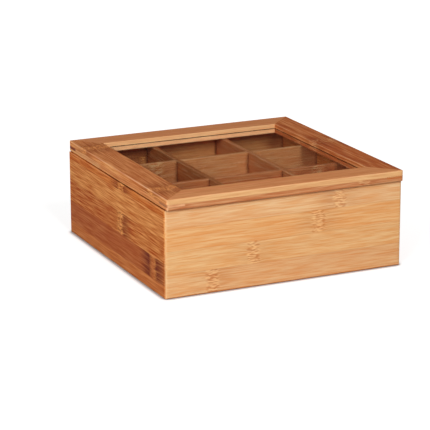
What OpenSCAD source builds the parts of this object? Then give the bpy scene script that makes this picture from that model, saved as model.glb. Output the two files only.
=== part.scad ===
// Tea bag organizer box: a bamboo box of nine compartments with a hinged, glazed lid.
// X runs left to right, Y front to back, Z up. The origin is on the underside, in the
// middle of the closed box. Millimetres throughout.

/* [Box] */
// Width of the box, left to right
box_w = 220; // [180:1:300]
// Depth of the box without the lid's overhang, front to back
box_d = 216.5; // [180:0.5:300]
// Height of the box without the lid
box_h = 75; // [50:1:120]
// Thickness of the four walls
wall_t = 8; // [7.5:0.5:12]
// Radius of the upright outer corners
corner_r = 3; // [1.5:0.1:4]
// Radius of the eased outer edges of box and lid
edge_r = 1.4; // [0.6:0.1:1.5]

/* [Bottom] */
// Thickness of the bottom panel
base_t = 5; // [3:0.5:8]
// How far the bottom panel is let into each wall
rabbet_in = 4; // [2:0.5:5]

/* [Dividers] */
// Thickness of the dividers
divider_t = 4.5; // [3:0.5:7]
// How far the dividers stop below the rim
divider_drop = 0.5; // [0.2:0.1:5]
// Depth of the upright grooves that hold the dividers' ends
dado_in = 2; // [1:0.5:3]
// Radius of the dividers' top edges
divider_edge_r = 0.6; // [0.2:0.1:1.2]

/* [Lid] */
// Thickness of the lid's frame
rail_t = 9.6; // [8:0.2:16]
// Width of the lid's rails
rail_w = 24; // [18:1:40]
// How far the lid stands out past the front wall
lid_overhang = 3.5; // [0:0.5:8]
// How far each side of the lid stands in from the side wall
lid_side_in = 0.8; // [0:0.1:2]
// Gap between the rim and the closed lid
lid_gap = 0.4; // [0.3:0.05:0.8]
// Radius of the lid's upright corners
lid_corner_r = 2.5; // [1.5:0.1:4]
// Radius of the edges around the window
window_edge_r = 0.6; // [0.2:0.1:1.5]
// Opening angle at which the back edges of lid and wall meet
lid_stop = 107; // [95:1:120]

/* [Window and corner keys] */
// Thickness of the clear pane
pane_t = 1.5; // [1:0.1:3]
// Depth of the groove that holds the pane
pane_groove = 5; // [3:0.5:8]
// Thickness of the keys across the lid's mitres
key_t = 2; // [1:0.1:3]
// Length of a key along each outer face
key_leg = 16; // [8:1:18]
// Height of a key's middle above the lid's underside
key_h = 4; // [3.5:0.1:5]

/* [Hinges] */
// Length of a hinge
hinge_l = 25; // [20:1:40]
// Distance from the side of the box to the middle of a hinge
hinge_in = 40; // [30:1:60]
// Thickness of the hinge leaves
leaf_t = 0.8; // [0.7:0.1:1.2]
// Distance from the pin's centre to the leaf's front edge
leaf_reach = 6.2; // [6:0.1:6.6]
// Distance between the two screws of a leaf
screw_pitch = 15; // [8:1:19]
// Diameter of the hinge pin
pin_d = 1.8; // [1.4:0.1:2.4]

/* [Screws] */
// Diameter of a screw's shank
screw_d = 1.8; // [1.5:0.1:2]
// Length of a screw
screw_l = 6; // [4:0.5:7]
// Diameter of a screw's countersunk head
screw_head_d = 3.2; // [2.6:0.1:3.2]

/* [Hidden] */
$fn = 48;

cells = 3;            // compartments along each side
panel_fit = 0.2;      // gap between the bottom panel and the walls' rabbets
divider_fit = 0.15;   // gap on each side of a divider in its grooves and half laps
dado_end_fit = 0.2;   // gap between a divider's end and the bottom of its groove
lap_fit = 0.2;        // gap between the floors of two half laps
pane_fit = 0.1;       // gap above and below the pane
pane_edge_fit = 0.5;  // gap between the pane's edge and the bottom of its groove
key_fit = 0.04;       // glue line around a corner key
pin_fit = 0.05;       // radial play of the pin in the knuckles
knuckle_gap = 0.2;    // gap between two knuckles
knuckle_run = 0.25;   // gap between a knuckle and the other leaf
scoop_run = 0.3;      // gap between the knuckles and the wood around them
leaf_gap = 0.1;       // gap between the closed leaves
leaf_fit = 0.1;       // gap around a leaf in its recess
knuckles = 5;         // knuckles of one hinge, the outer ones on the wall's leaf
leaf_corner_r = 1;
pin_head_t = 0.4;
screw_tip_l = 1.4;
screw_tip_r = 0.1;
screw_recess_w = 0.5;
screw_recess_deep = 0.35;
screw_hole_fit = 0.05;
cut = 1;              // how far a cutting shape runs past what it cuts

bamboo_light = "#e2b074";
bamboo_side = "#c98a4e";
bamboo_lid = "#c58a56";
bamboo_inside = "#c99a68";
bamboo_dark = "#6e4034";
brass = "#c9a24f";
steel = "#b9b7b2";
clear = "#dfe9ea60";

// The box, its lid and where they stand
lid_w = box_w - 2*lid_side_in;
lid_d = box_d + lid_overhang;
back_y = lid_d/2;
box_y = back_y - box_d/2;
lid_z = box_h + lid_gap;

// The compartments
inner_w = box_w - 2*wall_t;
inner_d = box_d - 2*wall_t;
cell_w = (inner_w - (cells - 1)*divider_t)/cells;
cell_d = (inner_d - (cells - 1)*divider_t)/cells;
column_x = (cell_w + divider_t)/2;
row_y = (cell_d + divider_t)/2;
divider_h = box_h - divider_drop - base_t;

// The pin stands just inside the back face. The eased edges of lid and wall turn about it
// and touch when the lid has opened by lid_stop: two circles of edge_r, each centred
// edge_h above or below the pin, and edge_y in front of it.
edge_h = lid_gap/2 + edge_r;
edge_y = (edge_r - edge_h*cos(lid_stop/2))/sin(lid_stop/2);
pin_y = back_y - edge_r + edge_y;
pin_z = box_h + lid_gap/2;
hinge_x = box_w/2 - hinge_in;

pin_r = pin_d/2;
bore_r = pin_r + pin_fit;
knuckle_r = bore_r + leaf_t;
knuckle_pitch = hinge_l/knuckles;
scoop_r = knuckle_r + scoop_run;
screw_r = screw_d/2;
screw_head_r = screw_head_d/2;
screw_head_h = screw_head_r - screw_r;
screw_y = -(scoop_r + leaf_reach)/2;

// ---- outlines ----

// Rectangle from the origin, with one radius for its two corners at low x and one for
// its two corners at high x
module rounded_rect(w, h, r_low, r_high) {
    intersection() {
        square([w, h]);
        union() {
            side_of_rect(w, h, r_low);
            translate([w, 0]) mirror([1, 0]) side_of_rect(w, h, r_high);
            translate([w/4, 0]) square([w/2, h]);
        }
    }
}

module side_of_rect(w, h, r) {
    translate([r, 0]) square([w/2 - r, h]);
    if (r > 0) {
        translate([0, r]) square([w/2, h - 2*r]);
        for (y = [r, h - r]) translate([r, y]) circle(r);
    }
}

module centred_rect(w, d, r) {
    translate([-w/2, -d/2]) rounded_rect(w, d, r, r);
}

// Block on the floor, with rounded upright corners and eased edges above and below
module eased_block(w, d, h, upright_r) {
    intersection() {
        linear_extrude(h) centred_rect(w, d, upright_r);
        translate([0, d/2, 0]) rotate([90, 0, 0])
            linear_extrude(d) translate([-w/2, 0]) rounded_rect(w, h, edge_r, edge_r);
        translate([-w/2, 0, 0]) rotate([90, 0, 90])
            linear_extrude(w) translate([-d/2, 0]) rounded_rect(d, h, edge_r, edge_r);
    }
}

// Side of a mitred frame, outer face on y = 0
module mitred(len, w) {
    polygon([[-len/2, 0], [len/2, 0], [len/2 - w, w], [-len/2 + w, w]]);
}

// Puts a side whose outer face is on y = 0 round a frame: 0 front, 90 right, 180 back
module on_side(turn, w, d) {
    reach = (turn % 180 == 0) ? d/2 : w/2;
    rotate([0, 0, turn]) translate([0, -reach, 0]) children();
}

function side_length(turn, w, d) = (turn % 180 == 0) ? w : d;

// ---- box ----

module box_block() {
    translate([0, box_y, 0]) eased_block(box_w, box_d, box_h, corner_r);
}

// One wall, mitred at both ends, rabbeted for the bottom and grooved for two dividers
module wall(turn, divider_at) {
    len = side_length(turn, box_w, box_d);
    intersection() {
        box_block();
        translate([0, box_y, 0]) on_side(turn, box_w, box_d) difference() {
            linear_extrude(box_h) mitred(len, wall_t);
            translate([-len/2, wall_t - rabbet_in, -cut]) cube([len, rabbet_in + cut, base_t + cut]);
            for (side = [-1, 1])
                translate([side*divider_at - divider_t/2 - divider_fit, wall_t - dado_in, base_t - cut])
                    cube([divider_t + 2*divider_fit, dado_in + cut, box_h]);
        }
    }
}

module front_panel() { color(bamboo_light) wall(0, column_x); }
module left_panel() { color(bamboo_side) wall(270, row_y); }
module right_panel() { color(bamboo_side) wall(90, row_y); }

module back_panel() {
    color(bamboo_side) difference() {
        wall(180, column_x);
        for (side = [-1, 1]) at_hinge(side) hinge_recess(-1);
    }
}

module bottom_panel() {
    w = box_w - 2*(wall_t - rabbet_in + panel_fit);
    d = box_d - 2*(wall_t - rabbet_in + panel_fit);
    color(bamboo_inside) translate([-w/2, box_y - d/2, 0]) cube([w, d, base_t]);
}

// Board standing on its edge along X, its foot on z = 0, with eased top edges and half
// laps that are open above or below
module divider(len, lap_at, open_top) {
    lap_w = divider_t + 2*divider_fit;
    lap_h = divider_h/2 + lap_fit/2;
    difference() {
        translate([-len/2, 0, 0]) rotate([90, 0, 90]) linear_extrude(len)
            translate([-divider_t/2, 0]) intersection() {
                square([divider_t, divider_h]);
                translate([0, -divider_h]) rounded_rect(divider_t, 2*divider_h, divider_edge_r, divider_edge_r);
            }
        for (side = [-1, 1])
            translate([side*lap_at - lap_w/2, -divider_t, open_top ? divider_h - lap_h : -cut])
                cube([lap_w, 2*divider_t, lap_h + cut]);
    }
}

// side is -1 for the front row divider and 1 for the back one
module row_divider(side) {
    color(bamboo_inside) translate([0, box_y + side*row_y, base_t])
        divider(inner_w + 2*(dado_in - dado_end_fit), column_x, true);
}

module column_divider(side) {
    color(bamboo_inside) translate([side*column_x, box_y, base_t]) rotate([0, 0, 90])
        divider(inner_d + 2*(dado_in - dado_end_fit), row_y, false);
}

// ---- lid ----

module lid_block() {
    translate([0, 0, lid_z]) eased_block(lid_w, lid_d, rail_t, lid_corner_r);
}

// Right-angled wedge across each mitre
module key_wedge(extra) {
    leg = key_leg + extra;
    translate([0, 0, lid_z + key_h - key_t/2 - extra])
        linear_extrude(key_t + 2*extra) polygon([[-cut, -cut], [leg + cut, -cut], [-cut, leg + cut]]);
}

module at_lid_corner(x_side, y_side) {
    translate([x_side*lid_w/2, y_side*lid_d/2, 0]) mirror([x_side > 0 ? 1 : 0, 0, 0])
        mirror([0, y_side > 0 ? 1 : 0, 0]) children();
}

// One rail of the lid, mitred at both ends, grooved for the pane and kerfed for the keys
module rail(turn) {
    len = side_length(turn, lid_w, lid_d);
    groove_h = pane_t + 2*pane_fit;
    difference() {
        intersection() {
            lid_block();
            on_side(turn, lid_w, lid_d) intersection() {
                translate([0, 0, lid_z]) linear_extrude(rail_t) mitred(len, rail_w);
                translate([-len/2, 0, lid_z]) rotate([90, 0, 90]) linear_extrude(len) difference() {
                    translate([-rail_w, 0])
                        rounded_rect(2*rail_w, rail_t, window_edge_r, window_edge_r);
                    translate([rail_w - pane_groove, (rail_t - groove_h)/2])
                        square([pane_groove + cut, groove_h]);
                }
            }
        }
        for (x_side = [-1, 1], y_side = [-1, 1]) at_lid_corner(x_side, y_side) key_wedge(key_fit);
    }
}

module lid_rail_front() { color(bamboo_light) rail(0); }
module lid_rail_left() { color(bamboo_lid) rail(270); }
module lid_rail_right() { color(bamboo_lid) rail(90); }

module lid_rail_back() {
    color(bamboo_lid) difference() {
        rail(180);
        for (side = [-1, 1]) at_hinge(side) hinge_recess(1);
    }
}

module corner_key(x_side, y_side) {
    color(bamboo_dark) intersection() {
        lid_block();
        at_lid_corner(x_side, y_side) key_wedge(0);
    }
}

module window_pane() {
    w = lid_w - 2*(rail_w - pane_groove + pane_edge_fit);
    d = lid_d - 2*(rail_w - pane_groove + pane_edge_fit);
    color(clear) translate([-w/2, -d/2, lid_z + (rail_t - pane_t)/2]) cube([w, d, pane_t]);
}

// ---- hinges ----

// Puts the left (-1) or right (1) hinge's pin, drawn along X through the origin
module at_hinge(side) {
    translate([side*hinge_x, pin_y, pin_z]) children();
}

module along_pin(r, len) {
    rotate([0, 90, 0]) cylinder(r = r, h = len, center = true);
}

// Flat part of a leaf seen from above, its back edge on the pin's centre line
module leaf_outline(extra) {
    w = hinge_l + 2*extra;
    d = leaf_reach + extra;
    translate([w/2, -d]) rotate([0, 0, 90])
        rounded_rect(d, w, leaf_corner_r + extra, 0);
}

module at_screws(up) {
    for (side = [-1, 1]) translate([side*screw_pitch/2, screw_y, up*leaf_gap/2])
        mirror([0, 0, up > 0 ? 1 : 0]) children();
}

// One leaf: up is -1 for the wall's leaf, with the outer knuckles, and 1 for the lid's
module leaf(up) {
    first = up < 0 ? 0 : 1;
    difference() {
        union() {
            difference() {
                translate([0, 0, up < 0 ? -leaf_gap/2 - leaf_t : leaf_gap/2])
                    linear_extrude(leaf_t) leaf_outline(0);
                for (i = [1 - first : 2 : knuckles - 1]) at_knuckle(i)
                    along_pin(knuckle_r + knuckle_run, knuckle_pitch + knuckle_gap);
            }
            for (i = [first : 2 : knuckles - 1]) at_knuckle(i)
                along_pin(knuckle_r, knuckle_pitch - knuckle_gap);
        }
        along_pin(bore_r, hinge_l + 2*cut);
        at_screws(up) screw_hole();
    }
}

module at_knuckle(i) {
    translate([(i - (knuckles - 1)/2)*knuckle_pitch, 0, 0]) children();
}

// What a hinge takes out of the wood: a recess for the leaf, a scoop for the knuckles and
// pilot holes. up is -1 in the back wall and 1 in the lid's back rail.
module hinge_recess(up) {
    deep = leaf_gap/2 + leaf_t;
    translate([0, 0, up < 0 ? -deep : 0]) linear_extrude(deep) leaf_outline(leaf_fit);
    along_pin(scoop_r, hinge_l + 2*(pin_head_t + scoop_run));
    at_screws(up) translate([0, 0, -screw_l - leaf_fit]) cylinder(r = screw_r + screw_hole_fit, h = screw_l);
}

// Pin with both ends headed over
module hinge_pin(side) {
    color(steel) at_hinge(side) {
        along_pin(pin_r, hinge_l + 2*pin_head_t);
        for (end = [-1, 1]) translate([end*(hinge_l/2 + pin_head_t/2), 0, 0])
            along_pin((bore_r + knuckle_r)/2, pin_head_t);
    }
}

// ---- screws, heads up at the origin ----

module screw_hole() {
    translate([0, 0, -screw_l]) cylinder(r = screw_r + screw_hole_fit, h = screw_l + cut);
    translate([0, 0, -screw_head_h]) cylinder(h = screw_head_h + cut,
        r1 = screw_r + screw_hole_fit, r2 = screw_head_r + screw_hole_fit + cut);
}

module screw() {
    difference() {
        union() {
            translate([0, 0, -screw_head_h]) cylinder(h = screw_head_h, r1 = screw_r, r2 = screw_head_r);
            translate([0, 0, -screw_l + screw_tip_l]) cylinder(h = screw_l - screw_tip_l, r = screw_r);
            translate([0, 0, -screw_l]) cylinder(h = screw_tip_l, r1 = screw_tip_r, r2 = screw_r);
        }
        for (turn = [0, 90]) rotate([0, 0, turn])
            translate([-screw_r, -screw_recess_w/2, -screw_recess_deep])
                cube([2*screw_r, screw_recess_w, screw_recess_deep + cut]);
    }
}

module leaf_screws(up) {
    color(brass) for (side = [-1, 1]) at_hinge(side) at_screws(up) screw();
}

front_panel();
back_panel();
left_panel();
right_panel();
bottom_panel();
row_divider(-1);  // row_divider_front
row_divider(1);  // row_divider_back
column_divider(-1);  // column_divider_left
column_divider(1);  // column_divider_right
lid_rail_front();
lid_rail_back();
lid_rail_left();
lid_rail_right();
corner_key(-1, -1);  // corner_key_front_left
corner_key(1, -1);  // corner_key_front_right
corner_key(-1, 1);  // corner_key_back_left
corner_key(1, 1);  // corner_key_back_right
window_pane();
color(brass) at_hinge(-1) leaf(-1);  // wall_leaf_left
color(brass) at_hinge(1) leaf(-1);  // wall_leaf_right
color(brass) at_hinge(-1) leaf(1);  // lid_leaf_left
color(brass) at_hinge(1) leaf(1);  // lid_leaf_right
hinge_pin(-1);  // hinge_pin_left
hinge_pin(1);  // hinge_pin_right
leaf_screws(-1);  // wall_leaf_screws
leaf_screws(1);  // lid_leaf_screws
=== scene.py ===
import math

import bpy
from mathutils import Matrix, Vector


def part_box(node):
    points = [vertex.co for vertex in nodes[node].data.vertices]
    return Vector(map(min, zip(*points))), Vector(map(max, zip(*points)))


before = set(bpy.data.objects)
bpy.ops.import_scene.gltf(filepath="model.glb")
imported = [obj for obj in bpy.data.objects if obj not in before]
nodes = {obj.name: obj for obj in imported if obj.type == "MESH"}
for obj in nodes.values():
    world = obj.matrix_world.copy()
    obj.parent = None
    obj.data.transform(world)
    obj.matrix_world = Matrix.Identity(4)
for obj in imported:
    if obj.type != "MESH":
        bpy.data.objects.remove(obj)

scene = bpy.context.scene
mmPerMetre = 1000
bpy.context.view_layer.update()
print("frame loaded:", len(nodes), "nodes")


# helpers

def linearColour(code):
    # sRGB hex to the linear values that Blender's sockets hold
    channels = [int(code[i:i + 2], 16) / 255 for i in (1, 3, 5)]
    return [c / 12.92 if c <= 0.04045 else ((c + 0.055) / 1.055) ** 2.4 for c in channels] + [1]


def addNode(tree, kind, inputs, out=0, **settings):
    # adds a node, sets or links its inputs and gives back one of its outputs
    node = tree.nodes.new("ShaderNode" + kind)
    for name, value in settings.items():
        setattr(node, name, value)
    for name, value in inputs.items():
        if isinstance(value, bpy.types.NodeSocket):
            tree.links.new(value, node.inputs[name])
        else:
            node.inputs[name].default_value = value
    return node.outputs[out] if node.outputs else node


def newMaterial(name):
    material = bpy.data.materials.new(name)
    material.use_nodes = True
    material.node_tree.nodes.clear()
    return material, material.node_tree


def setSteps(socket, values):
    # makes a colour ramp give each of the values in turn, in steps of one width
    ramp = socket.node.color_ramp
    ramp.interpolation = "CONSTANT"
    while len(ramp.elements) < len(values):
        ramp.elements.new(1)
    for i, (element, value) in enumerate(zip(ramp.elements, values)):
        element.position = i / len(values)
        element.color = value


def dress(material, *names):
    for name in names:
        nodes[name].material_slots[0].material = material


# Carbonised bamboo board: strips about 20 mm wide, steamed brown, glued edge to edge, sanded and
# wiped with thin matt lacquer. To the eye: short fine fibres, a tone of its own in each strip, a
# rippled band where a strip crosses a node of the stem, and paler sanded edges with a painted
# highlight on them. Painted shade darkens the upper faces, the joints, the inner corners and the
# pane's saw cut. Sizes in mm.
# A grain is (length, width, noise detail, contrast) and a layer is (colour, how much of it).
bambooGrain = {
    "stripWidth": 19.3,
    "seedStep": 53.7,                   # gives the next strip another part of the noise
    "fibre": (22, 1.0, 3, 0.2),         # real fibres are 0.4 mm wide, too fine to show
    "streak": (60, 2.1, 2, 0.18),
    "cloud": (55, 8, 2, 0.17),
    "ripple": (5.5, 0.9, 1, 0.15),      # the short dashes in a node
    "wander": (90, 14, 1, 0.5),         # the fibres stray off their line,
    "wanderReach": 0.8,                 # this far,
    "bend": (4, 3, 1, 0.3),             # and bend in a node,
    "bendReach": 0.7,                   # this far at its middle, and less
    "bendRange": (3, 12),               # over this distance from it
    "nodeWidth": 10,
    "nodeEdge": (30, 3.5, 2, 0.5),      # the node's band strays as it crosses a strip,
    "nodeEdgeReach": 3,                 # this far
    "nodeFades": (0.38, 0.72),          # half of its width, as shares of nodeWidth
    "tailStarts": (0.3, 0.75),          # darker fibres beside a node, from these shares of it
    "tailFades": 0.6,                   # and fading from this share
    "tailLength": 30,                   # to this distance
    "tailTurn": 2,                      # width of the change from one side's tail to the other's
    "tailBreaks": (0.2, 1.1),           # broken up where the fibres are pale,
    "tailLeast": 0.35,                  # down to this share
    "stepWidth": 6,
    "glueWidth": 0.35,
    "cloudLayer": ("#e2a06c", 0.08),
    "streakLayer": ("#dc9a68", 0.08),
    "fibreLayer": ("#cf8652", 0.42),
    "paleLayer": ("#ffdca6", 0.2),
    "stepLayer": ("#c8784c", 1),
    "tailLayer": ("#9c5f3c", 1),
    "troughLayer": ("#cc8446", 0.55),
    "crestLayer": ("#ffd698", 0.4),
    "glueLayer": ("#c08050", 0.3),
    "upperShadeLayer": ("#ffffff", 0),       # painted shade: upper faces darker and redder than the sides, as they look under this light
    "upperTurn": (0.5, 0.9),            # how far a face looks up, 1 being straight up
    "wearAndHighlightLayer": ("#ffd8a4", 0.35),     # sanded edges, paler, with a painted highlight on them,
    "wearAndHighlightRange": (0.45, 1.3),           # which are not sanded evenly,
    "wearAndHighlightTurn": (0.8, 0.98),            # on the round between two faces
    "wearAndHighlightUpward": (-0.4, 0),            # but not on the lower edges, where no highlight falls
    "endLayer": ("#b4703c", 0),         # end grain
    "endTurn": (0.5, 0.8),
    "creviceShadeLayer": ("#79452b", 1),     # painted shade in joints and inner corners
    "creviceReach": 1.1,
    "creviceShade": (0.25, 0.85),       # how open to the air, from full shade to none
    "creviceSamples": 6,
    "creviceHeight": (2, 1000),         # only between these heights
    "creviceShadeFades": (1000, 1001),      # where along the board the painted shade fades out
    "kerfShadeLayer": ("#1c0e08", 0.98),     # painted shade in the pane's saw cut, where no light reaches
    "kerfShade": (0, 0, 0),      # lowest and highest point of the saw cut's painted shade, and how far out it reaches
    "roughness": (0.5, 0.64),
    "specular": 0.05,
    "ior": 1.5,
    "relief": 0.03,                     # height of the fibres' relief
    "reliefStrength": 0.5,
}
# One strip. Its node lies along the board at nodeAt (130 is past the end: none), and the stem's next
# ones an internode away. Beside the node it is darker by dark, on the side that lean gives, from -1
# to 1. stepBefore and stepPast darken the whole length on one side of the node. band and fibres are
# how strongly those show.
plainStrip = {"tone": "#e0b080", "nodeAt": 130, "internode": 260, "band": 1, "dark": 0, "lean": 0,
              "fibres": 1, "stepBefore": 0, "stepPast": 0}


def grainPattern(tree, point, grain):
    # noise drawn out along the fibres; the part of it within contrast of the middle becomes 0 to 1
    length, width, detail, contrast = grain
    point = addNode(tree, "VectorMath", {0: point, 1: (1 / length, 1 / width, 1 / width)},
                    operation="MULTIPLY")
    noise = addNode(tree, "TexNoise", {"Vector": point, "Scale": 1, "Detail": detail}, "Fac")
    return addNode(tree, "MapRange", {"Value": noise, "From Min": 0.5 - contrast,
                                      "From Max": 0.5 + contrast}, interpolation_type="SMOOTHSTEP")


def makeBamboo(name, look):
    # look["axes"] names the fibres' axis, the axis across the strips and the board's thickness
    material, tree = newMaterial(name)
    g = {**bambooGrain, **look}
    strips = [{**plainStrip, **strip} for strip in g["strips"]]
    place = addNode(tree, "TexCoord", {}, "Object")
    point = addNode(tree, "VectorMath", {0: place, "Scale": mmPerMetre}, operation="SCALE")
    axis = addNode(tree, "SeparateXYZ", {0: point}).node.outputs
    along, across, deep = (axis[letter] for letter in g["axes"])

    # which strip, how far from its edge, and what the look says of it
    inStrips = addNode(tree, "MapRange", {"Value": across, "From Min": g["start"],
                                          "From Max": g["start"] + g["stripWidth"]}, clamp=False)
    strip = addNode(tree, "Math", {0: inStrips}, operation="FLOOR")
    edge = addNode(tree, "Math", {0: inStrips, 1: 0.5}, operation="PINGPONG")
    pick = addNode(tree, "MapRange", {"Value": strip, "From Min": -0.5, "From Max": len(strips) - 0.5})
    # (a ramp holds only numbers from 0 to 1, so places are in metres past -0.5, and so on)
    tones = [linearColour(one["tone"])[:3] + [one["band"]] for one in strips]
    figures = [(one["nodeAt"] / mmPerMetre + 0.5, one["dark"], one["lean"] / 2 + 0.5,
                one["internode"] / mmPerMetre) for one in strips]
    amounts = [(one["stepBefore"], one["stepPast"], one["fibres"] / 2, 1) for one in strips]
    picked = []
    for values in (tones, figures, amounts):
        ramp = addNode(tree, "ValToRGB", {"Fac": pick})
        setSteps(ramp, values)
        picked.append(ramp)
    colour, figure, amount = picked
    internode = addNode(tree, "Math", {0: figure.node.outputs["Alpha"], 1: mmPerMetre},
                        operation="MULTIPLY")
    halfInternode = addNode(tree, "Math", {0: internode, 1: 2}, operation="DIVIDE")
    figure = addNode(tree, "SeparateColor", {0: figure}).node.outputs
    amount = addNode(tree, "SeparateColor", {0: amount}).node.outputs
    nodePlace = addNode(tree, "MapRange", {"Value": figure["Red"], "To Min": -mmPerMetre / 2,
                                           "To Max": mmPerMetre / 2}, clamp=False)

    # every strip has a figure of its own
    shift = addNode(tree, "Math", {0: strip, 1: g["seedStep"], 2: g["seed"]}, operation="MULTIPLY_ADD")
    shifted = addNode(tree, "Math", {0: deep, 1: shift}, operation="ADD")
    straight = addNode(tree, "CombineXYZ", {"X": along, "Y": across, "Z": shifted})

    # node band: its distance along the strip, with a wandering edge
    stray = grainPattern(tree, straight, g["nodeEdge"])
    stray = addNode(tree, "MapRange", {"Value": stray, "To Min": -g["nodeEdgeReach"],
                                       "To Max": g["nodeEdgeReach"]})
    offset = addNode(tree, "Math", {0: along, 1: nodePlace}, operation="SUBTRACT")
    offset = addNode(tree, "Math", {0: offset, 1: stray}, operation="ADD")
    step = addNode(tree, "MapRange", {"Value": offset, "From Min": -g["stepWidth"] / 2,
                                      "From Max": g["stepWidth"] / 2, "To Min": amount["Red"],
                                      "To Max": amount["Green"]})
    offset = addNode(tree, "Math", {0: offset, 1: halfInternode}, operation="ADD")
    offset = addNode(tree, "Math", {0: offset, 1: internode}, operation="FLOORED_MODULO")
    offset = addNode(tree, "Math", {0: offset, 1: halfInternode}, operation="SUBTRACT")
    reach = addNode(tree, "Math", {0: offset}, operation="ABSOLUTE")
    core = addNode(tree, "MapRange", {"Value": reach, "From Min": g["nodeWidth"] * g["nodeFades"][0],
                                      "From Max": g["nodeWidth"] * g["nodeFades"][1], "To Min": 1,
                                      "To Max": 0}, interpolation_type="SMOOTHSTEP")
    core = addNode(tree, "Math", {0: core, 1: colour.node.outputs["Alpha"]}, operation="MULTIPLY")

    # the dark fibres start sharply at the node and fade out along the strip
    starts = addNode(tree, "MapRange", {"Value": reach, "From Min": g["nodeWidth"] * g["tailStarts"][0],
                                        "From Max": g["nodeWidth"] * g["tailStarts"][1]})
    fades = addNode(tree, "MapRange", {"Value": reach, "From Min": g["nodeWidth"] * g["tailFades"],
                                       "From Max": g["tailLength"], "To Min": 1, "To Max": 0},
                    interpolation_type="SMOOTHSTEP")
    leftSide = addNode(tree, "MapRange", {"Value": figure["Blue"], "From Min": 0.5, "To Min": 1,
                                          "To Max": 0})
    rightSide = addNode(tree, "MapRange", {"Value": figure["Blue"], "From Max": 0.5})
    side = addNode(tree, "MapRange", {"Value": offset, "From Min": -g["tailTurn"] / 2,
                                      "From Max": g["tailTurn"] / 2, "To Min": leftSide,
                                      "To Max": rightSide})
    tail = addNode(tree, "Math", {0: starts, 1: fades}, operation="MULTIPLY")
    tail = addNode(tree, "Math", {0: tail, 1: side}, operation="MULTIPLY")
    tail = addNode(tree, "Math", {0: tail, 1: figure["Green"]}, operation="MULTIPLY")

    # fibres drift a little, and bend round the node
    near = addNode(tree, "MapRange", {"Value": reach, "From Min": g["bendRange"][0],
                                      "From Max": g["bendRange"][1], "To Min": g["bendReach"],
                                      "To Max": 0}, interpolation_type="SMOOTHSTEP")
    bend = addNode(tree, "Math", {0: grainPattern(tree, straight, g["bend"]), 1: near},
                   operation="MULTIPLY")
    drift = addNode(tree, "Math", {0: grainPattern(tree, straight, g["wander"]), 1: g["wanderReach"],
                                   2: bend}, operation="MULTIPLY_ADD")
    drift = addNode(tree, "Math", {0: across, 1: drift}, operation="ADD")
    bent = addNode(tree, "CombineXYZ", {"X": along, "Y": drift, "Z": shifted})
    cloud = grainPattern(tree, straight, g["cloud"])
    streak, fibre, ripple = (grainPattern(tree, bent, g[grain]) for grain in ("streak", "fibre", "ripple"))

    # shares of the layers
    fibre = addNode(tree, "Math", {0: fibre, 1: amount["Blue"]}, operation="MULTIPLY")
    fibre = addNode(tree, "Math", {0: fibre, 1: 2}, operation="MULTIPLY")
    crest = addNode(tree, "Math", {0: core, 1: ripple}, operation="MULTIPLY")
    trough = addNode(tree, "Math", {0: core, 1: crest}, operation="SUBTRACT")
    dark = addNode(tree, "Math", {0: streak, 1: fibre}, operation="ADD")
    pale = addNode(tree, "MapRange", {"Value": dark, "To Min": 1, "To Max": 0})
    broken = addNode(tree, "MapRange", {"Value": dark, "From Min": g["tailBreaks"][0],
                                        "From Max": g["tailBreaks"][1], "To Min": g["tailLeast"]})
    tail = addNode(tree, "Math", {0: tail, 1: broken}, operation="MULTIPLY")
    glue = addNode(tree, "MapRange", {"Value": edge, "From Max": g["glueWidth"] / g["stripWidth"],
                                      "To Min": 1, "To Max": 0})

    # sanded edges, paler, with a painted highlight: where the surface turns from one of the board's upper
    # or side faces to the next
    facing = addNode(tree, "TexCoord", {}, "Normal")
    upward = addNode(tree, "SeparateXYZ", {0: facing}, "Z")
    # painted shade on faces that look up
    upperShade = addNode(tree, "MapRange", {"Value": upward, "From Min": g["upperTurn"][0],
                                       "From Max": g["upperTurn"][1]})
    upward = addNode(tree, "MapRange", {"Value": upward, "From Min": g["wearAndHighlightUpward"][0],
                                        "From Max": g["wearAndHighlightUpward"][1]})
    facing = addNode(tree, "VectorMath", {0: facing}, operation="ABSOLUTE")
    facing = addNode(tree, "SeparateXYZ", {0: facing}).node.outputs
    turned = addNode(tree, "Math", {0: facing["X"], 1: facing["Y"]}, operation="MAXIMUM")
    turned = addNode(tree, "Math", {0: turned, 1: facing["Z"]}, operation="MAXIMUM")
    wearAndHighlight = addNode(tree, "MapRange", {"Value": turned, "From Min": g["wearAndHighlightTurn"][0],
                                      "From Max": g["wearAndHighlightTurn"][1], "To Min": upward, "To Max": 0},
                   interpolation_type="SMOOTHSTEP")
    uneven = addNode(tree, "MapRange", {"Value": cloud, "To Min": g["wearAndHighlightRange"][0],
                                        "To Max": g["wearAndHighlightRange"][1]})
    wearAndHighlight = addNode(tree, "Math", {0: wearAndHighlight, 1: uneven}, operation="MULTIPLY")
    end = addNode(tree, "MapRange", {"Value": facing[g["axes"][0]], "From Min": g["endTurn"][0],
                                     "From Max": g["endTurn"][1]})

    # painted shade in joints and inner corners, where another surface is close
    clear = addNode(tree, "AmbientOcclusion", {"Distance": g["creviceReach"] / mmPerMetre}, "AO",
                    samples=g["creviceSamples"])
    paintedCreviceShade = addNode(tree, "MapRange", {"Value": clear, "From Min": g["creviceShade"][0],
                                         "From Max": g["creviceShade"][1], "To Min": 1, "To Max": 0})
    low, high = g["creviceHeight"]
    level = addNode(tree, "Math", {0: axis["Z"], 1: (low + high) / 2, 2: (high - low) / 2},
                    operation="COMPARE")
    paintedCreviceShade = addNode(tree, "Math", {0: paintedCreviceShade, 1: level}, operation="MULTIPLY")
    shadeStays = addNode(tree, "MapRange", {"Value": along, "From Min": g["creviceShadeFades"][0],
                                        "From Max": g["creviceShadeFades"][1], "To Min": 1, "To Max": 0})
    paintedCreviceShade = addNode(tree, "Math", {0: paintedCreviceShade, 1: shadeStays}, operation="MULTIPLY")

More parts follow.
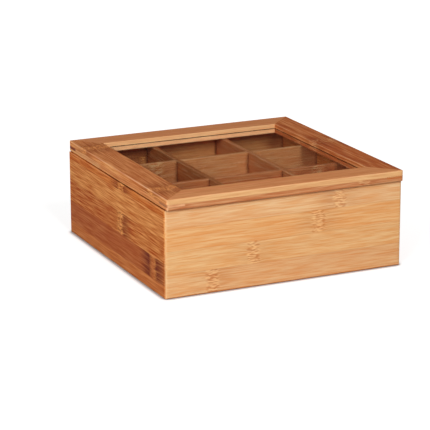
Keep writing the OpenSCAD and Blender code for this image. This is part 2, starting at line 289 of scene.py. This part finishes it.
    layers = [
        ("cloudLayer", cloud, "MULTIPLY"), ("streakLayer", streak, "MULTIPLY"),
        ("fibreLayer", fibre, "MULTIPLY"), ("paleLayer", pale, "MIX"), ("stepLayer", step, "MULTIPLY"),
        ("tailLayer", tail, "MULTIPLY"), ("crestLayer", crest, "MIX"), ("troughLayer", trough, "MULTIPLY"),
        ("glueLayer", glue, "MULTIPLY"), ("upperShadeLayer", upperShade, "MULTIPLY"), ("wearAndHighlightLayer", wearAndHighlight, "MIX"),
        ("endLayer", end, "MULTIPLY"), ("creviceShadeLayer", paintedCreviceShade, "MULTIPLY")]
    # painted shade inside the pane's saw cut, where no light reaches
    low, high, out = g["kerfShade"]
    if high > low:
        outward = addNode(tree, "VectorMath", {0: point}, operation="ABSOLUTE")
        outward = addNode(tree, "SeparateXYZ", {0: outward}).node.outputs
        outward = addNode(tree, "Math", {0: outward["X"], 1: outward["Y"]}, operation="MAXIMUM")
        within = addNode(tree, "Math", {0: outward, 1: out}, operation="LESS_THAN")
        kerfShade = addNode(tree, "Math", {0: axis["Z"], 1: (low + high) / 2, 2: (high - low) / 2},
                       operation="COMPARE")
        kerfShade = addNode(tree, "Math", {0: kerfShade, 1: within}, operation="MULTIPLY")
        layers.append(("kerfShadeLayer", kerfShade, "MIX"))
    for layer, share, blend in layers:
        code, amount = g[layer]
        share = addNode(tree, "Math", {0: share, 1: amount}, operation="MULTIPLY", use_clamp=True)
        colour = addNode(tree, "Mix", {0: share, 6: colour, 7: linearColour(code)}, 2,
                         data_type="RGBA", blend_type=blend)

    # surface: fibres stand out a little, and the dark ones are duller
    height = addNode(tree, "Math", {0: fibre, 1: glue}, operation="SUBTRACT")
    bump = addNode(tree, "Bump", {"Height": height, "Strength": g["reliefStrength"],
                                  "Distance": g["relief"] / mmPerMetre})
    rough = addNode(tree, "MapRange", {"Value": fibre, "To Min": g["roughness"][0],
                                       "To Max": g["roughness"][1]})
    shader = addNode(tree, "BsdfPrincipled", {"Base Color": colour, "Roughness": rough, "IOR": g["ior"],
                                              "Specular IOR Level": g["specular"], "Normal": bump})
    addNode(tree, "OutputMaterial", {"Surface": shader})
    return material


# walls: the front board is the palest and the sides are a richer caramel; the front's fibres are
# more orange than its ground rather than darker, and the most finely sanded
frontPanel = {
    "axes": "XZY", "seed": 11, "start": -18.3, "fibreLayer": ("#f6c07c", 0.6), "relief": 0.015,
    "strips": [{"tone": "#d48d52"}, {"tone": "#ebbf8c", "nodeAt": -67.5, "dark": 0.1, "stepPast": 0.12},
               {"tone": "#ecbf88", "nodeAt": -30.5, "dark": 0.08},
               {"tone": "#eebb81", "nodeAt": 30.5, "dark": 0.15},
               {"tone": "#eec290", "nodeAt": 50, "dark": 0.22, "lean": -0.5}],
}
caramelWall = {
    "fibre": (24, 0.85, 3, 0.2), "streak": (70, 1.8, 2, 0.18), "fibreLayer": ("#c07040", 0.58),
    "streakLayer": ("#d08048", 0.16), "cloudLayer": ("#dc8c54", 0.06), "paleLayer": ("#ffc078", 0.18),
    "tailLayer": ("#8c4a2a", 1), "troughLayer": ("#a85c30", 0.45), "crestLayer": ("#ffb464", 0.78),
    "wearAndHighlightLayer": ("#ffc88c", 0.3),
}
leftPanel = {
    # the painted shade of the joint under the lid fades out towards the back
    **caramelWall, "axes": "YZX", "seed": 23, "start": -8.3, "creviceShadeFades": (10, 60),
    "strips": [{"tone": "#dc8946"},
               {"tone": "#d4803f", "nodeAt": -81.5, "band": 0.25, "dark": 0.9, "stepPast": 0.36},
               {"tone": "#efa458", "nodeAt": -11, "dark": 0.6, "lean": -1, "fibres": 1.8,
                "stepPast": 0.18},
               {"tone": "#f8b062", "fibres": 1.45},
               {"tone": "#eb9242", "nodeAt": -13.5, "dark": 0.6, "fibres": 1.4}],
}
rightPanel = {
    **caramelWall, "axes": "YZX", "seed": 37, "start": -1,
    "strips": [{"tone": "#e48844", "nodeAt": 62, "dark": 0.4},
               {"tone": "#ef9a50", "nodeAt": -38, "dark": 0.5, "lean": 0.6, "stepBefore": 0.15},
               {"tone": "#e2823f", "nodeAt": 18, "dark": 0.6, "lean": -0.5},
               {"tone": "#f19e53", "nodeAt": -90, "dark": 0.3}],
}
backPanel = {
    # painted shade reaches further into the inner corners here, and under the lid
    **caramelWall, "axes": "XZY", "seed": 51, "start": -14.5, "creviceReach": 5,
    "strips": [{"tone": "#ea9853", "fibres": 0.8},
               {"tone": "#e2914e", "nodeAt": 44, "dark": 0.4, "lean": 0.5, "fibres": 0.75},
               {"tone": "#efa45f", "nodeAt": -75, "dark": 0.4, "stepPast": 0.12, "fibres": 0.7},
               {"tone": "#efab6a", "nodeAt": -37, "dark": 0.35, "lean": -0.6, "fibres": 0.5,
                "stepBefore": 0.3},
               {"tone": "#efab6a", "nodeAt": -32, "dark": 0.3, "fibres": 0.5, "stepBefore": 0.3}],
}
for node, look in (("front_panel", frontPanel), ("left_panel", leftPanel),
                   ("right_panel", rightPanel), ("back_panel", backPanel)):
    dress(makeBamboo("bambooWall_" + node, look), node)

# bottom: a thin bamboo ply sheet, fibres left to right
bottomPanel = {
    "axes": "XYZ", "seed": 71, "start": -106, "stripWidth": 20,
    "strips": [{"tone": tone, "nodeAt": place, "dark": 0.3} for tone, place in (
        ("#dca878", 20), ("#e2ae7c", -64), ("#d8a272", 71), ("#e0aa78", -12), ("#e2b07e", 50),
        ("#daa474", -90), ("#dea878", 5), ("#e0ac7c", 96), ("#d8a070", -35), ("#dea878", 60),
        ("#dca676", -70))],
}
dress(makeBamboo("bambooPly_bottom", bottomPanel), "bottom_panel")

# dividers: thin boards from different stock, with painted shade in the corners of the compartments
divider = {"start": 2, "stripWidth": 24.5, "creviceReach": 5, "creviceHeight": (2, 74)}
rowFront = {**divider, "axes": "XZY", "seed": 83, "tone": "#e4915a", "nodePlaces": (40, -20, 68)}
rowBack = {**divider, "axes": "XZY", "seed": 97, "tone": "#f3ae71", "nodePlaces": (40, -20, -57)}
columnLeft = {**divider, "axes": "YZX", "seed": 109, "tone": "#c77b44", "nodePlaces": (60, -55, 130)}
columnRight = {**divider, "axes": "YZX", "seed": 127, "tone": "#e4945b", "nodePlaces": (-62, 48, 130)}
for node, look in (("row_divider_front", rowFront), ("row_divider_back", rowBack),
                   ("column_divider_left", columnLeft), ("column_divider_right", columnRight)):
    strips = [{"tone": look["tone"], "nodeAt": place, "dark": 0.3} for place in look["nodePlaces"]]
    dress(makeBamboo("bambooDivider_" + node, {**look, "strips": strips}), node)
print("box dressed")

# lid rails: two plies, so two strips in the thickness, with the pane's saw cut between them
paneBox = [[c * mmPerMetre for c in corner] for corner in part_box("window_pane")]
# how far the saw cut's painted shade reaches past the pane
sawCut = {"play": 0.2, "depth": 2}    # taller than the pane on each side, and deeper
lidRail = {"start": 74.2, "stripWidth": 6, "glueWidth": 0.25,
           "creviceHeight": (74, 77),    # painted shade only in the joint under the lid, and not in the pane's groove
           "kerfShade": (paneBox[0][2] - sawCut["play"], paneBox[1][2] + sawCut["play"],
                    paneBox[1][0] + sawCut["depth"])}
# on each rail, the colour given for upper faces is painted shade on its top face
lidFront = {
    **lidRail, "axes": "XZY", "seed": 139, "upperShadeLayer": ("#f7d5c6", 1),
    "strips": [{"tone": "#d28f5e", "nodeAt": 71, "dark": 0.2, "lean": 1},
               {"tone": "#eebc82", "fibres": 0.8}],
}
lidBack = {
    **lidRail, "axes": "XZY", "seed": 151, "upperShadeLayer": ("#e1beaf", 1),
    "strips": [{"tone": "#ffc592", "fibres": 0.6}, {"tone": "#fdc88d", "fibres": 0.5}],
}
lidLeft = {
    # the painted shade of the joint under the lid fades out towards the back
    **lidRail, **caramelWall, "axes": "YZX", "seed": 163, "creviceShadeFades": (10, 60),
    "upperShadeLayer": ("#eae0e5", 1), "stepLayer": ("#f5dbc7", 1),
    # a stronger painted highlight on the sanded edges of this rail
    "streak": (60, 1.4, 2, 0.18), "streakLayer": ("#cc8048", 0.3), "wearAndHighlightLayer": ("#ffd0a4", 0.4),
    "strips": [{"tone": "#ffc685", "nodeAt": 35, "band": 0, "stepBefore": 1},    # scuffed at the back
               {"tone": "#feb56c", "nodeAt": 74, "internode": 150, "dark": 0.35, "fibres": 1.2}],
}
lidRight = {
    **lidRail, "axes": "YZX", "seed": 179, "upperShadeLayer": ("#e5d4cb", 1), "cloudLayer": ("#c87c4c", 0.4),
    "streak": (60, 1.8, 2, 0.18), "streakLayer": ("#b46638", 0.4),
    "strips": [{"tone": "#d07843", "nodeAt": 40, "dark": 0.2},
               {"tone": "#ffb470", "nodeAt": 10, "dark": 0.3, "fibres": 1.5}],
}
for node, look in (("lid_rail_front", lidFront), ("lid_rail_back", lidBack),
                   ("lid_rail_left", lidLeft), ("lid_rail_right", lidRight)):
    dress(makeBamboo("bambooRail_" + node, look), node)

# corner keys: slips of bamboo from other stock, cut flush with the rails
cornerKey = {
    "axes": "XZY", "start": 70, "stripWidth": 20, "fibre": (9, 1.0, 3, 0.2), "streak": (30, 2.4, 2, 0.18),
    "glueLayer": ("#c08050", 0), "wearAndHighlightLayer": ("#ffd8a4", 0.1), "endLayer": ("#b4703c", 0.6),
}
keyFrontLeft = {**cornerKey, "seed": 191, "strips": [{"tone": "#eab080"}]}
keyFrontRight = {**cornerKey, "seed": 193, "strips": [{"tone": "#cb7b43"}]}
keyBackLeft = {**cornerKey, "seed": 197, "strips": [{"tone": "#a45836"}]}
keyBackRight = {**cornerKey, "seed": 199, "strips": [{"tone": "#985a38"}]}
for corner, look in (("front_left", keyFrontLeft), ("front_right", keyFrontRight),
                     ("back_left", keyBackLeft), ("back_right", keyBackRight)):
    dress(makeBamboo("bambooKey_" + corner, look), "corner_key_" + corner)
print("lid dressed")


# Clear acrylic sheet, extruded and polished: faint waviness in the gloss and no colour of its own.
# Lamps and soft light pass straight through it.
def makeAcrylic(name, look):
    material, tree = newMaterial(name)
    point = addNode(tree, "TexCoord", {}, "Object")
    haze = addNode(tree, "TexNoise", {"Vector": point, "Scale": mmPerMetre / look["hazeSize"],
                                      "Detail": look["hazeDetail"]}, "Fac")
    rough = addNode(tree, "MapRange", {"Value": haze, "To Min": look["roughness"][0],
                                       "To Max": look["roughness"][1]})
    sheet = addNode(tree, "BsdfPrincipled", {"Base Color": linearColour(look["tint"]),
                                             "Roughness": rough, "IOR": look["ior"],
                                             "Transmission Weight": 1})
    clear = addNode(tree, "BsdfTransparent", {})
    path = addNode(tree, "LightPath", {}).node.outputs
    shader = addNode(tree, "MixShader", {0: path["Is Shadow Ray"], 1: sheet, 2: clear})
    shader = addNode(tree, "MixShader", {0: path["Is Diffuse Ray"], 1: shader, 2: clear})
    addNode(tree, "OutputMaterial", {"Surface": shader})
    return material


pane = {"tint": "#fbfdfd", "hazeSize": 40, "hazeDetail": 2, "roughness": (0.0, 0.03), "ior": 1.49}
dress(makeAcrylic("acrylic_pane", pane), "window_pane")


# Plated or drawn metal: fine scratches one way, and blotches where the plating has dulled
def makeMetal(name, look):
    material, tree = newMaterial(name)
    point = addNode(tree, "TexCoord", {}, "Object")
    point = addNode(tree, "VectorMath", {0: point, "Scale": mmPerMetre}, operation="SCALE")
    lines = addNode(tree, "VectorMath", {0: point, 1: [1 / size for size in look["scratch"]]},
                    operation="MULTIPLY")
    scratch = addNode(tree, "TexNoise", {"Vector": lines, "Scale": 1, "Detail": look["scratchDetail"]},
                      "Fac")
    dull = addNode(tree, "TexNoise", {"Vector": point, "Scale": 1 / look["blotch"],
                                      "Detail": look["blotchDetail"]}, "Fac")
    dull = addNode(tree, "MapRange", {"Value": dull, "From Min": look["blotchRange"][0],
                                      "From Max": look["blotchRange"][1]})
    colour = addNode(tree, "Mix", {0: dull, 6: linearColour(look["bright"]),
                                   7: linearColour(look["dulled"])}, 2, data_type="RGBA")
    rough = addNode(tree, "MapRange", {"Value": scratch, "From Min": look["scratchRange"][0],
                                       "From Max": look["scratchRange"][1],
                                       "To Min": look["roughness"][0], "To Max": look["roughness"][1]})
    bump = addNode(tree, "Bump", {"Height": scratch, "Strength": look["scratchStrength"],
                                  "Distance": look["depth"] / mmPerMetre})
    shader = addNode(tree, "BsdfPrincipled", {"Base Color": colour, "Roughness": rough, "Metallic": 1,
                                              "Normal": bump})
    addNode(tree, "OutputMaterial", {"Surface": shader})
    return material


# the numbers of a scratch are its size along X, Y and Z, and the sizes are in mm
hingeMetal = {"scratchDetail": 3, "scratchRange": (0.3, 0.7), "scratchStrength": 0.3,
              "blotchDetail": 2, "blotchRange": (0.45, 0.7)}
hingeLeaf = {**hingeMetal, "scratch": (4, 0.12, 0.12), "blotch": 3, "bright": "#d9b565",
             "dulled": "#b98e48", "roughness": (0.22, 0.42), "depth": 0.01}
hingePin = {**hingeMetal, "scratch": (3, 0.1, 0.1), "blotch": 2, "bright": "#c9c6bf",
            "dulled": "#a5a29b", "roughness": (0.2, 0.35), "depth": 0.008}
hingeScrew = {**hingeMetal, "scratch": (0.15, 0.15, 1), "blotch": 1.5, "bright": "#dcb96c",
              "dulled": "#b48a47", "roughness": (0.2, 0.4), "depth": 0.01}
dress(makeMetal("brassPlated_leaf", hingeLeaf), "wall_leaf_left", "wall_leaf_right", "lid_leaf_left",
      "lid_leaf_right")
dress(makeMetal("drawnSteel_pin", hingePin), "hinge_pin_left", "hinge_pin_right")
dress(makeMetal("brassPlated_screw", hingeScrew), "wall_leaf_screws", "lid_leaf_screws")
print("pane and hinges dressed")

# studio: a white floor that keeps a soft shadow, a tall soft lamp in front, a broad one at the
# left, and soft light all round
studio = {
    "floorSize": 12, "floorDrop": 0.0002, "floorColour": "#d8d8d8",
    "whiteLevel": 1.08,                 # what the floor looks like, lamps and glow together
    "farLight": 0.235, "nearLight": 0.38, "lampFoot": (-1.15, -0.9, 0),    # what the lamps give
    "shadeReach": (0.4, 1.4),           # shadows show near the box and are gone at this distance
    "contact": 0.005, "fullContact": 0.5,
    "fill": 0.26,                       # soft light all round
    "whiteBelow": 5, "darkAbove": 11,   # degrees up: the pane mirrors the dark overhead
    "unlit": 0.008,
    "lamps": [
        {"name": "frontLamp", "place": (0.0, -3.22, 2.25), "target": (0, 0, 0.06), "size": (1.0, 1.5),
         "watts": 58},
        {"name": "sideLamp", "place": (-1.15, -0.9, 0.85), "target": (0, 0, 0.04), "size": (0.8, 0.8),
         "watts": 11.8},
    ],
}


def seenDirectly(tree):
    # 1 for rays from the camera, a mirror or glass, which show the white background
    path = addNode(tree, "LightPath", {}).node.outputs
    seen = addNode(tree, "Math", {0: path["Is Camera Ray"], 1: path["Is Glossy Ray"]},
                   operation="MAXIMUM")
    return addNode(tree, "Math", {0: seen, 1: path["Is Transmission Ray"]}, operation="MAXIMUM")


bpy.ops.mesh.primitive_plane_add(size=studio["floorSize"], location=(0, 0, -studio["floorDrop"]))
floor = bpy.context.object
floor.name = "studioFloor"
material, tree = newMaterial("paintedFloor")
matt = addNode(tree, "BsdfDiffuse", {"Color": linearColour(studio["floorColour"])})
# the glow tops up what the lamps give, which falls off from the side lamp's foot, to an even white
point = addNode(tree, "TexCoord", {}, "Object")
foot = addNode(tree, "VectorMath", {0: point, 1: studio["lampFoot"]}, "Value", operation="DISTANCE")
fallOff = addNode(tree, "Math", {0: foot, 1: -2}, operation="POWER")
glow = addNode(tree, "Math", {0: fallOff, 1: -studio["nearLight"],
                              2: studio["whiteLevel"] - studio["farLight"]}, operation="MULTIPLY_ADD")
glow = addNode(tree, "Math", {0: glow, 1: 0}, operation="MAXIMUM")
away = addNode(tree, "VectorMath", {0: point}, "Value", operation="LENGTH")
away = addNode(tree, "MapRange", {"Value": away, "From Min": studio["shadeReach"][0],
                                  "From Max": studio["shadeReach"][1]}, interpolation_type="SMOOTHSTEP")
glow = addNode(tree, "Math", {0: away, 1: glow}, operation="ADD")
# and gives way to a fine soft line of shade where the box meets the floor
unshaded = addNode(tree, "AmbientOcclusion", {"Distance": studio["contact"]}, "AO")
unshaded = addNode(tree, "MapRange", {"Value": unshaded, "From Min": studio["fullContact"]},
                   interpolation_type="SMOOTHSTEP")
glow = addNode(tree, "Math", {0: unshaded, 1: glow}, operation="MULTIPLY")
glow = addNode(tree, "Math", {0: seenDirectly(tree), 1: glow}, operation="MULTIPLY")
glow = addNode(tree, "Emission", {"Strength": glow})
addNode(tree, "OutputMaterial", {"Surface": addNode(tree, "AddShader", {0: matt, 1: glow})})
floor.data.materials.append(material)

world = bpy.data.worlds.new("studioWorld")
scene.world = world
world.use_nodes = True
tree = world.node_tree
tree.nodes.clear()
direction = addNode(tree, "SeparateXYZ", {0: addNode(tree, "TexCoord", {}, "Generated")}, "Z")
low, high = (math.sin(math.radians(studio[a])) for a in ("whiteBelow", "darkAbove"))
seen = addNode(tree, "MapRange", {"Value": direction, "From Min": low, "From Max": high, "To Min": 1,
                                  "To Max": studio["unlit"]}, interpolation_type="SMOOTHSTEP")
strength = addNode(tree, "Mix", {0: seenDirectly(tree), 2: studio["fill"], 3: seen}, 0)
background = addNode(tree, "Background", {"Color": (1, 1, 1, 1), "Strength": strength})
addNode(tree, "OutputWorld", {"Surface": background})

for made in studio["lamps"]:
    lamp = bpy.data.lights.new(made["name"], "AREA")
    lamp.shape = "RECTANGLE"
    lamp.size, lamp.size_y = made["size"]
    lamp.energy = made["watts"]
    holder = bpy.data.objects.new(made["name"], lamp)
    scene.collection.objects.link(holder)
    holder.location = made["place"]
    aim = Vector(made["target"]) - holder.location
    holder.rotation_euler = aim.to_track_quat("-Z", "Y").to_euler()

# camera, from the box's left front and a little above
view = {"place": (-0.7077, -1.4952, 0.5103), "yaw": 24.83, "down": 16.18, "roll": -0.16, "lens": 164.08}
camera = bpy.data.objects.new("camera", bpy.data.cameras.new("camera"))
scene.collection.objects.link(camera)
camera.data.sensor_width = 36
camera.data.lens = view["lens"]
camera.matrix_world = (Matrix.Translation(view["place"])
                       @ Matrix.Rotation(math.radians(-view["yaw"]), 4, "Z")
                       @ Matrix.Rotation(math.radians(90 - view["down"]), 4, "X")
                       @ Matrix.Rotation(math.radians(view["roll"]), 4, "Z"))
scene.camera = camera
scene.view_settings.view_transform = "Standard"
print("studio and camera set")
